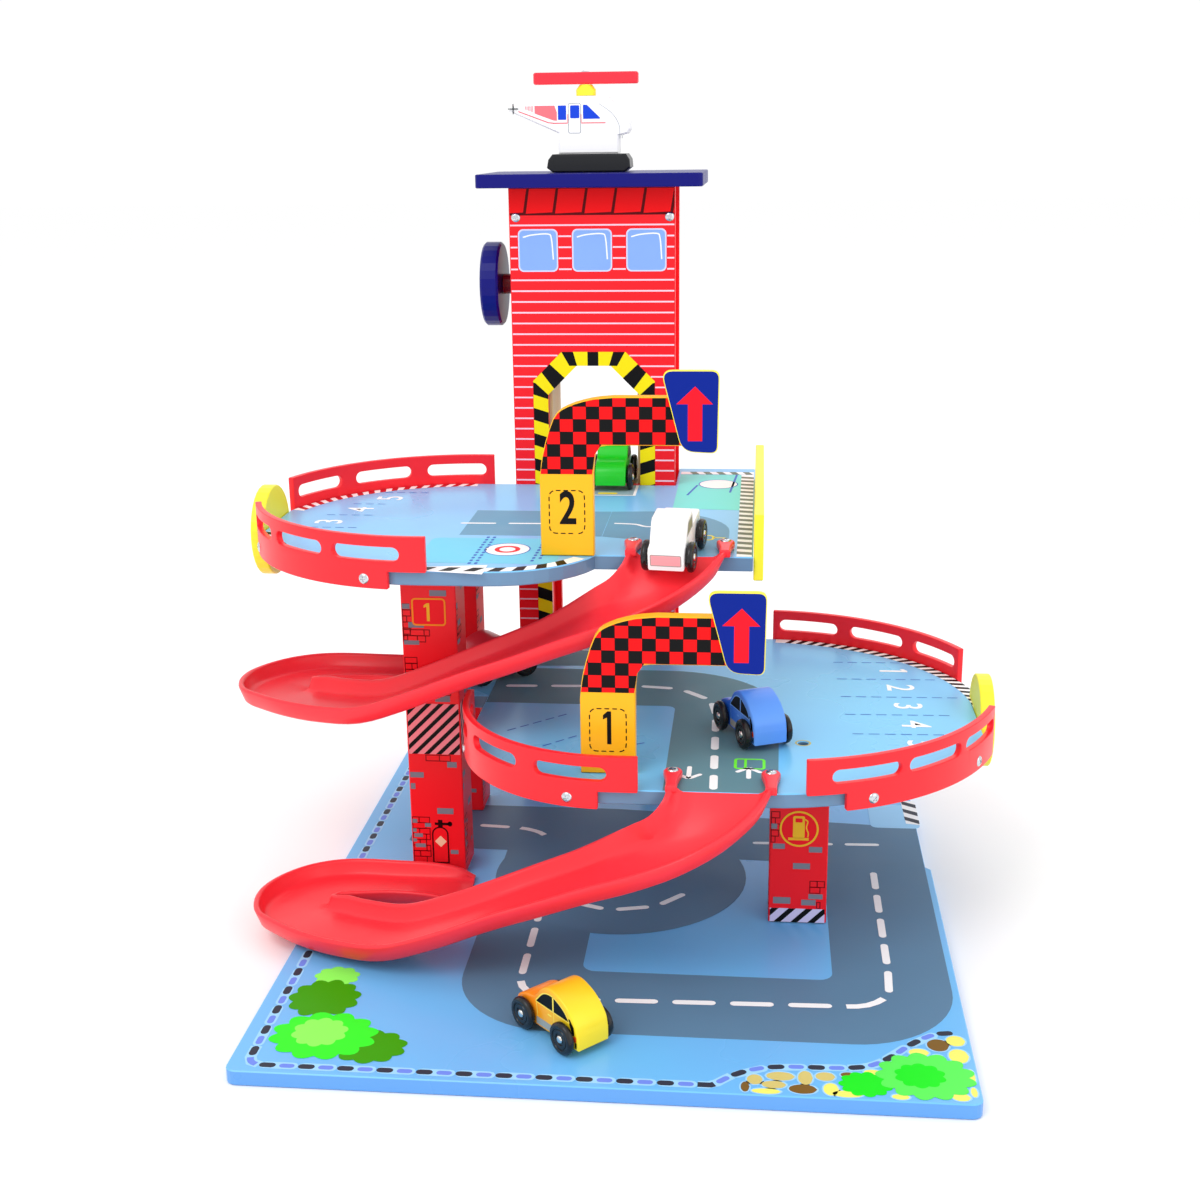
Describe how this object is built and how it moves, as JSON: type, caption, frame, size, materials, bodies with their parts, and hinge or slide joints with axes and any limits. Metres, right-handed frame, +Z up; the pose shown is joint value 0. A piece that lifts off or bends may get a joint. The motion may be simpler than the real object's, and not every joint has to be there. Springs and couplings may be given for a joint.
{
  "type": "toy garage",
  "caption": "Toy parking garage: base, two round-ended decks with slotted rails, cranked lift tower with helipad, two curling ramps, swivelling arrow signs, helicopter and cars.",
  "frame": {"origin": "centre of the base board's underside", "axes": "+Z up; the open front with the ramp mouths faces -Y; +X to the right seen from the front"},
  "size_m": [0.4965, 0.498, 0.5295],
  "materials": {
    "blue_paint": "painted wood, satin",
    "cord": "twisted cord",
    "dark_plastic": "moulded plastic",
    "green_paint": "painted wood, satin",
    "lift_wood": "bare wood",
    "navy": "painted board, gloss",
    "orange_paint": "painted wood, satin",
    "red_board": "painted board, satin",
    "red_plastic": "moulded plastic, satin gloss",
    "sign_blue": "painted board, gloss",
    "sign_yellow": "painted board, satin",
    "sky_board": "painted board, satin",
    "white_paint": "painted wood, satin",
    "yellow_board": "painted board, satin"
  },
  "bodies": {
    "root": {"base_board": "sky_board", "column_front_left": "red_board", "column_front_right": "red_board", "column_rear_left": "red_board", "deck_1": "sky_board", "deck_1_rail_back_right": "red_plastic", "deck_1_rail_front_left": "red_plastic", "deck_1_rail_front_right": "red_plastic", "deck_2": "sky_board", "deck_2_rail_back_left": "red_plastic", "deck_2_rail_front_left": "red_plastic", "deck_2_side_wall": "yellow_board", "end_disc_left": "yellow_board", "end_disc_right": "yellow_board", "helipad": "navy", "lift_cord_left": "cord", "lift_cord_right": "cord", "ramp_lower": "red_plastic", "ramp_upper": "red_plastic", "tower_back_panel": "red_board", "tower_front_panel": "red_board", "tower_side_left": "red_board", "tower_side_right": "red_board"},
    "lift": {"lift_floor": "lift_wood", "lift_cheek_left": "lift_wood", "lift_cheek_right": "lift_wood"},
    "crank": {"crank_wheel": "navy", "crank_hub": "red_board", "crank_shaft": "lift_wood"},
    "sign_1": {"sign_1_board": "sign_yellow", "sign_1_arrow_plate": "sign_blue", "sign_1_peg": "lift_wood"},
    "sign_2": {"sign_2_board": "sign_yellow", "sign_2_arrow_plate": "sign_blue", "sign_2_peg": "lift_wood"},
    "helicopter": {"helicopter_body": "white_paint", "helicopter_mast": "yellow_board", "helicopter_skid": "dark_plastic"},
    "rotor": {"helicopter_rotor": "red_plastic"},
    "car_yellow": {"car_yellow_body": "orange_paint"},
    "car_yellow_front_axle": {"car_yellow_front_wheels": "dark_plastic"},
    "car_yellow_rear_axle": {"car_yellow_rear_wheels": "dark_plastic"},
    "car_blue": {"car_blue_body": "blue_paint"},
    "car_blue_front_axle": {"car_blue_front_wheels": "dark_plastic"},
    "car_blue_rear_axle": {"car_blue_rear_wheels": "dark_plastic"},
    "car_red": {"car_red_body": "red_board"},
    "car_red_front_axle": {"car_red_front_wheels": "dark_plastic"},
    "car_red_rear_axle": {"car_red_rear_wheels": "dark_plastic"},
    "car_green": {"car_green_body": "green_paint"},
    "car_green_front_axle": {"car_green_front_wheels": "dark_plastic"},
    "car_green_rear_axle": {"car_green_rear_wheels": "dark_plastic"},
    "car_white": {"car_white_body": "white_paint"},
    "car_white_front_axle": {"car_white_front_wheels": "dark_plastic"},
    "car_white_rear_axle": {"car_white_rear_wheels": "dark_plastic"}
  },
  "joints": [
    {"name": "lift_slide", "type": "slide", "parent": "root", "child": "lift", "axis": [0, 0, 1], "range_m": [-0.225, 0], "deforming": ["lift_cord_left", "lift_cord_right"]},
    {"name": "crank_turn", "type": "hinge", "parent": "root", "child": "crank", "pos_m": [-0.039, 0.206, 0.3836], "axis": [1, 0, 0], "range_deg": [0, 2243]},
    {"name": "sign_1_swivel", "type": "hinge", "parent": "root", "child": "sign_1", "pos_m": [-0.00535, -0.09, 0.125], "axis": [0, 0, 1], "range_deg": [-160, 10]},
    {"name": "sign_2_swivel", "type": "hinge", "parent": "root", "child": "sign_2", "pos_m": [-0.03475, -0.028, 0.241], "axis": [0, 0, 1], "continuous": true},
    {"name": "helicopter_lift_off", "type": "slide", "parent": "root", "child": "helicopter", "axis": [0, 0, 1], "range_m": [0, 0.05]},
    {"name": "rotor_spin", "type": "hinge", "parent": "helicopter", "child": "rotor", "pos_m": [-0.045, 0.206, 0.5215], "axis": [0, 0, 1], "continuous": true},
    {"name": "car_yellow_lift_off", "type": "slide", "parent": "root", "child": "car_yellow", "axis": [0, 0, 1], "range_m": [0, 0.03]},
    {"name": "car_yellow_front_spin", "type": "hinge", "parent": "car_yellow", "child": "car_yellow_front_axle", "pos_m": [-0.03587, -0.17563, 0.0186], "axis": [-0.7071, -0.7071, 0], "continuous": true},
    {"name": "car_yellow_rear_spin", "type": "hinge", "parent": "car_yellow", "child": "car_yellow_rear_axle", "pos_m": [-0.01113, -0.20037, 0.0186], "axis": [-0.7071, -0.7071, 0], "continuous": true},
    {"name": "car_blue_lift_off", "type": "slide", "parent": "root", "child": "car_blue", "axis": [0, 0, 1], "range_m": [0, 0.03]},
    {"name": "car_blue_front_spin", "type": "hinge", "parent": "car_blue", "child": "car_blue_front_axle", "pos_m": [0.07124, -0.01108, 0.1346], "axis": [-0.91, -0.4147, 0], "continuous": true},
    {"name": "car_blue_rear_spin", "type": "hinge", "parent": "car_blue", "child": "car_blue_rear_axle", "pos_m": [0.08576, -0.04292, 0.1346], "axis": [-0.91, -0.4147, 0], "continuous": true},
    {"name": "car_red_lift_off", "type": "slide", "parent": "root", "child": "car_red", "axis": [0, 0, 1], "range_m": [0, 0.03]},
    {"name": "car_red_front_spin", "type": "hinge", "parent": "car_red", "child": "car_red_front_axle", "pos_m": [-0.08785, 0.08855, 0.1346], "axis": [-0.66, 0.7513, 0], "continuous": true},
    {"name": "car_red_rear_spin", "type": "hinge", "parent": "car_red", "child": "car_red_rear_axle", "pos_m": [-0.11415, 0.06545, 0.1346], "axis": [-0.66, 0.7513, 0], "continuous": true},
    {"name": "car_green_lift_off", "type": "slide", "parent": "root", "child": "car_green", "axis": [0, 0, 1], "range_m": [0, 0.03]},
    {"name": "car_green_front_spin", "type": "hinge", "parent": "car_green", "child": "car_green_front_axle", "pos_m": [-0.0255, 0.16, 0.2506], "axis": [1, 0, 0], "continuous": true},
    {"name": "car_green_rear_spin", "type": "hinge", "parent": "car_green", "child": "car_green_rear_axle", "pos_m": [-0.0255, 0.195, 0.2506], "axis": [1, 0, 0], "continuous": true},
    {"name": "car_white_lift_off", "type": "slide", "parent": "root", "child": "car_white", "axis": [0, 0, 1], "range_m": [0, 0.03]},
    {"name": "car_white_front_spin", "type": "hinge", "parent": "car_white", "child": "car_white_front_axle", "pos_m": [0.02747, -0.04222, 0.24452], "axis": [0.9903, -0.1392, 0], "continuous": true},
    {"name": "car_white_rear_spin", "type": "hinge", "parent": "car_white", "child": "car_white_rear_axle", "pos_m": [0.03227, -0.00808, 0.2506], "axis": [0.9903, -0.1392, 0], "continuous": true}
  ],
  "couplings": [
    {"joint": "crank_turn", "follows": "lift_slide", "rad_per_m": -173.91}
  ]
}
